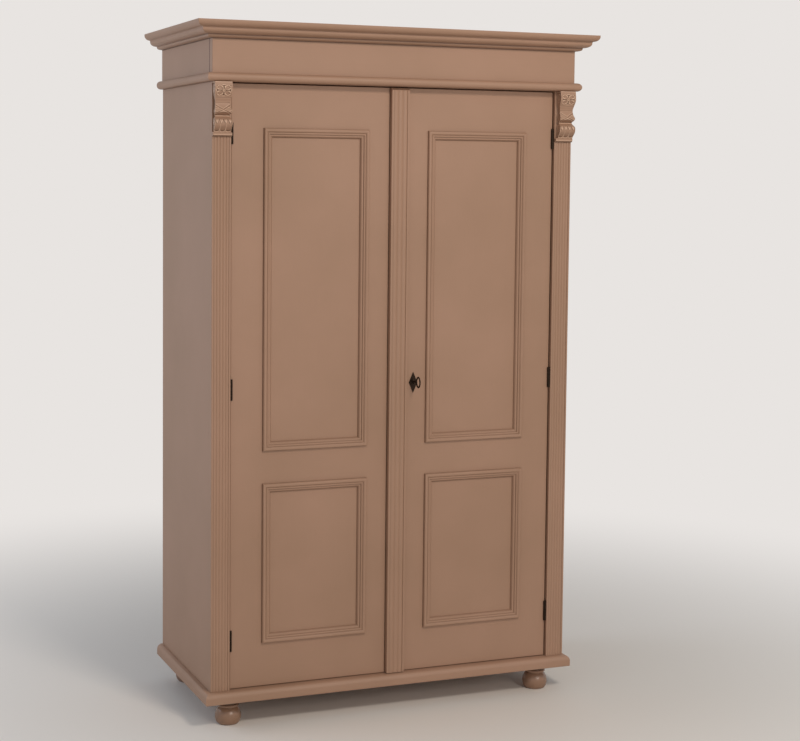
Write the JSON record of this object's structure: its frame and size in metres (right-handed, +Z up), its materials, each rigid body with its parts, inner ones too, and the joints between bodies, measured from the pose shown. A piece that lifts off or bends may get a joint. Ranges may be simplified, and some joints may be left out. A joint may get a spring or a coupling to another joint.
{
  "type": "wardrobe",
  "caption": "Tall painted wardrobe on bun feet: panelled hinged doors with a lock, reeded pilasters, corbels, frieze and stepped crown, with a clothes rail and hat shelf inside.",
  "frame": {"origin": "on the floor, under the middle of the whole piece with its crown", "axes": "+X to the right seen from the front, -Y out of the doors, +Z up"},
  "size_m": [1.202, 0.5796, 1.937],
  "materials": {
    "taupe_paint": "dusty taupe-brown satin paint, hand rubbed, over softwood",
    "black_iron": "blackened iron, satin",
    "zinc_steel": "plain zinc-plated steel",
    "pale_beech": "turned beech, waxed"
  },
  "bodies": {
    "carcass": {"foot_front_left": "taupe_paint", "foot_front_right": "taupe_paint", "foot_back_left": "taupe_paint", "foot_back_right": "taupe_paint", "base_board": "taupe_paint", "side_panel_left": "taupe_paint", "side_panel_right": "taupe_paint", "pilaster_left": "taupe_paint", "pilaster_right": "taupe_paint", "back_panel": "taupe_paint", "top_board": "taupe_paint", "corbel_left": "taupe_paint", "corbel_right": "taupe_paint", "frieze_front": "taupe_paint", "frieze_left": "taupe_paint", "frieze_right": "taupe_paint", "bead": "taupe_paint", "crown_front": "taupe_paint", "crown_left": "taupe_paint", "crown_right": "taupe_paint", "hat_shelf": "taupe_paint", "cleat_left": "taupe_paint", "cleat_right": "taupe_paint", "clothes_rail": "pale_beech", "hinge_left_bottom_frame_leaf": "black_iron", "hinge_left_middle_frame_leaf": "black_iron", "hinge_left_top_frame_leaf": "black_iron", "hinge_right_bottom_frame_leaf": "black_iron", "hinge_right_middle_frame_leaf": "black_iron", "hinge_right_top_frame_leaf": "black_iron"},
    "left_door": {"left_door_outer_stile": "taupe_paint", "left_door_meeting_stile": "taupe_paint", "left_door_bottom_rail": "taupe_paint", "left_door_middle_rail": "taupe_paint", "left_door_top_rail": "taupe_paint", "left_door_lower_panel": "taupe_paint", "left_door_upper_panel": "taupe_paint", "left_door_lower_moulding": "taupe_paint", "left_door_upper_moulding": "taupe_paint", "hinge_left_bottom_door_leaf": "black_iron", "hinge_left_middle_door_leaf": "black_iron", "hinge_left_top_door_leaf": "black_iron"},
    "right_door": {"right_door_outer_stile": "taupe_paint", "right_door_meeting_stile": "taupe_paint", "right_door_bottom_rail": "taupe_paint", "right_door_middle_rail": "taupe_paint", "right_door_top_rail": "taupe_paint", "right_door_lower_panel": "taupe_paint", "right_door_upper_panel": "taupe_paint", "right_door_lower_moulding": "taupe_paint", "right_door_upper_moulding": "taupe_paint", "hinge_right_bottom_door_leaf": "black_iron", "hinge_right_middle_door_leaf": "black_iron", "hinge_right_top_door_leaf": "black_iron", "centre_strip": "taupe_paint", "lock_case": "zinc_steel", "escutcheon": "black_iron"},
    "key": {"key": "black_iron"},
    "lock_bolt": {"lock_bolt": "zinc_steel"},
    "left_door_bolt": {"left_door_bolt": "zinc_steel"}
  },
  "joints": [
    {"name": "right_door_hinge", "type": "hinge", "parent": "carcass", "child": "right_door", "pos_m": [0.4866, -0.21955, 0.1075], "axis": [0, 0, 1], "range_deg": [0, 100]},
    {"name": "left_door_hinge", "type": "hinge", "parent": "carcass", "child": "left_door", "pos_m": [-0.4866, -0.21955, 0.1075], "axis": [0, 0, -1], "range_deg": [0, 100]},
    {"name": "key_turn", "type": "hinge", "parent": "right_door", "child": "key", "pos_m": [0.0545, -0.21575, 0.945], "axis": [0, -1, 0], "range_deg": [0, 360]},
    {"name": "lock_bolt_slide", "type": "slide", "parent": "right_door", "child": "lock_bolt", "axis": [-1, 0, 0], "range_m": [0, 0.01]},
    {"name": "left_door_bolt_slide", "type": "slide", "parent": "left_door", "child": "left_door_bolt", "axis": [0, 0, 1], "range_m": [0, 0.012]}
  ],
  "couplings": [
    {"joint": "key_turn", "follows": "lock_bolt_slide", "rad_per_m": 628.3}
  ]
}
